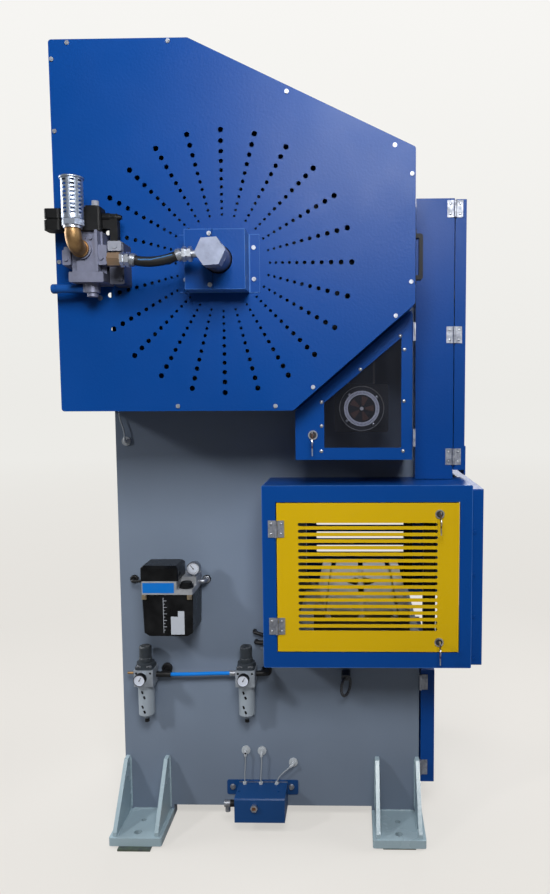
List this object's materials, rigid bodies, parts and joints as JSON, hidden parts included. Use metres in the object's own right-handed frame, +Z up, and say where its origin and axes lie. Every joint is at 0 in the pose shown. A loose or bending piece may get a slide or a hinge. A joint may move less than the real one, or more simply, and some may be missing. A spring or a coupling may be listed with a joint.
{
  "type": "mechanical stamping press",
  "caption": "Gap-frame geared stamping press with a ray-vented flywheel guard, windowed crank dial, slotted yellow die guard door, gusseted feet and side-mounted lubrication and air units.",
  "frame": {"origin": "middle of the rectangle of the four foundation-bolt holes, at the level of the floor under the foot shims", "axes": "+X from the rear to the operator's side, -Y the side with the flywheel guard, +Z up"},
  "size_m": [1.145, 1.235, 2.277],
  "materials": {
    "blue_paint": "fine orange-peel powder coat, satin",
    "grey_paint": "satin machine enamel",
    "yellow_paint": "satin powder coat",
    "ground_steel": "machined",
    "cast_iron": "painted casting, machined faces",
    "zinc": "bright zinc plate",
    "aluminium": "die-cast, matt",
    "brass": "dull, half tarnished",
    "black_plastic": "fine grain",
    "grey_plastic": "fine grain",
    "belt_rubber": "matt",
    "clear_pane": "clear polycarbonate",
    "clear_tube": "milky clear tube",
    "blue_tube": "polyurethane",
    "white_plastic": "moulded",
    "dial_face": "printed",
    "needle_red": "thin pressed",
    "hose_rubber": "braid-wrapped, matt"
  },
  "bodies": {
    "frame": {"side_plate_left": "grey_paint", "side_plate_right": "grey_paint", "bed_plate": "grey_paint", "rear_crown_plates": "grey_paint", "foot_shims": "zinc", "bolster": "ground_steel", "slide_gibs": "cast_iron", "v_belts": "belt_rubber", "motor": "blue_paint", "flywheel_guard": "blue_paint", "guard_face": "blue_paint", "guard_screws": "zinc", "union_covers": "blue_paint", "rotary_union": "zinc", "valve_body": "aluminium", "valve_pilot": "black_plastic", "valve_silencer": "aluminium", "pipe_fittings": "brass", "union_hose": "hose_rubber", "guard_handle": "black_plastic", "window_housing": "blue_paint", "dial_housing": "dial_face", "dial_chain": "ground_steel", "front_cabinet": "blue_paint", "die_guard_left": "blue_paint", "die_guard_right": "blue_paint", "die_guard_front": "blue_paint", "light_curtains": "black_plastic", "pump_housing": "black_plastic", "pump_head": "zinc", "regulator_bodies": "aluminium", "filter_bowls": "aluminium", "air_tube": "blue_tube", "oil_box": "blue_paint", "oil_tubes": "clear_tube", "tube_fittings": "white_plastic"},
    "crank": {"crankshaft": "ground_steel", "main_gear": "cast_iron"},
    "back_shaft": {"pinion_shaft": "ground_steel"},
    "flywheel": {"flywheel": "cast_iron", "clutch_unit": "cast_iron"},
    "motor_rotor": {"motor_pulley": "cast_iron"},
    "ram": {"slide": "cast_iron"},
    "rod": {"con_rod": "cast_iron", "crank_pin": "ground_steel"},
    "dial": {"dial_pointer": "zinc"},
    "window_door": {"window_door": "blue_paint", "window_pane": "clear_pane"},
    "window_lock": {"window_lock": "zinc"},
    "die_door": {"die_door_left": "yellow_paint"},
    "lock_upper": {"door_lock_upper": "zinc"},
    "lock_lower": {"door_lock_lower": "zinc"},
    "cabinet_door": {"cabinet_door": "blue_paint"},
    "lower_door": {"lower_front_door": "blue_paint"},
    "filler_cap": {"filler_cap": "black_plastic"},
    "pump_needle": {"pump_needle": "needle_red"},
    "knob_rear": {"knob_rear": "grey_plastic"},
    "knob_front": {"knob_front": "grey_plastic"},
    "needle_rear": {"needle_rear": "needle_red"},
    "needle_front": {"needle_front": "needle_red"}
  },
  "joints": [
    {"name": "crank_turn", "type": "hinge", "parent": "frame", "child": "crank", "pos_m": [0.29, 0, 1.61], "axis": [0, 1, 0], "continuous": true},
    {"name": "back_shaft_turn", "type": "hinge", "parent": "frame", "child": "back_shaft", "pos_m": [-0.07, 0, 1.715], "axis": [0, 1, 0], "continuous": true},
    {"name": "flywheel_turn", "type": "hinge", "parent": "frame", "child": "flywheel", "pos_m": [-0.07, -0.369, 1.715], "axis": [0, 1, 0], "continuous": true},
    {"name": "motor_turn", "type": "hinge", "parent": "frame", "child": "motor_rotor", "pos_m": [-0.33, -0.33, 2.122], "axis": [0, 1, 0], "continuous": true},
    {"name": "slide_stroke", "type": "slide", "parent": "frame", "child": "ram", "axis": [0, 0, 1], "range_m": [-0.09, 0]},
    {"name": "rod_swing", "type": "hinge", "parent": "ram", "child": "rod", "pos_m": [0.29, 0, 1.405], "axis": [0, 1, 0], "range_deg": [-10.37, 10.37]},
    {"name": "dial_turn", "type": "hinge", "parent": "frame", "child": "dial", "pos_m": [0.29, -0.4, 1.337], "axis": [0, 1, 0], "continuous": true},
    {"name": "window_door_swing", "type": "hinge", "parent": "frame", "child": "window_door", "pos_m": [0.4315, -0.524, 1.4], "axis": [0, 0, 1], "range_deg": [0, 110]},
    {"name": "window_lock_turn", "type": "hinge", "parent": "window_door", "child": "window_lock", "pos_m": [0.156, -0.53, 1.266], "axis": [0, -1, 0], "range_deg": [0, 90]},
    {"name": "die_door_swing", "type": "hinge", "parent": "frame", "child": "die_door", "pos_m": [0.04475, -0.4745, 0.85], "axis": [0, 0, -1], "range_deg": [0, 110]},
    {"name": "lock_upper_turn", "type": "hinge", "parent": "die_door", "child": "lock_upper", "pos_m": [0.511, -0.47, 1.037], "axis": [0, -1, 0], "range_deg": [0, 90]},
    {"name": "lock_lower_turn", "type": "hinge", "parent": "die_door", "child": "lock_lower", "pos_m": [0.511, -0.47, 0.664], "axis": [0, 1, 0], "range_deg": [0, 90]},
    {"name": "cabinet_door_swing", "type": "hinge", "parent": "frame", "child": "cabinet_door", "pos_m": [0.56625, -0.3365, 1.53], "axis": [0, 0, -1], "range_deg": [0, 110]},
    {"name": "lower_door_swing", "type": "hinge", "parent": "frame", "child": "lower_door", "pos_m": [0.4775, -0.2745, 0.315], "axis": [0, 0, -1], "range_deg": [0, 95]},
    {"name": "filler_cap_turn", "type": "hinge", "parent": "frame", "child": "filler_cap", "pos_m": [-0.24, -0.373, 0.805], "axis": [0, 0, 1], "range_deg": [0, 90]},
    {"name": "pump_needle_turn", "type": "hinge", "parent": "frame", "child": "pump_needle", "pos_m": [-0.226, -0.344, 0.847], "axis": [0, 1, 0], "range_deg": [-40, 230]},
    {"name": "knob_rear_turn", "type": "hinge", "parent": "frame", "child": "knob_rear", "pos_m": [-0.391, -0.308, 0.57], "axis": [0, 0, 1], "range_deg": [-1080, 1080]},
    {"name": "knob_front_turn", "type": "hinge", "parent": "frame", "child": "knob_front", "pos_m": [-0.073, -0.308, 0.57], "axis": [0, 0, 1], "range_deg": [-1080, 1080]},
    {"name": "needle_rear_turn", "type": "hinge", "parent": "frame", "child": "needle_rear", "pos_m": [-0.391, -0.379, 0.507], "axis": [0, 1, 0], "range_deg": [-150, 120]},
    {"name": "needle_front_turn", "type": "hinge", "parent": "frame", "child": "needle_front", "pos_m": [-0.073, -0.379, 0.507], "axis": [0, 1, 0], "range_deg": [-150, 120]}
  ],
  "couplings": [
    {"joint": "back_shaft_turn", "follows": "crank_turn", "ratio": -2.5714},
    {"joint": "dial_turn", "follows": "crank_turn", "ratio": 1},
    {"joint": "motor_turn", "follows": "flywheel_turn", "ratio": 4.3975}
  ]
}
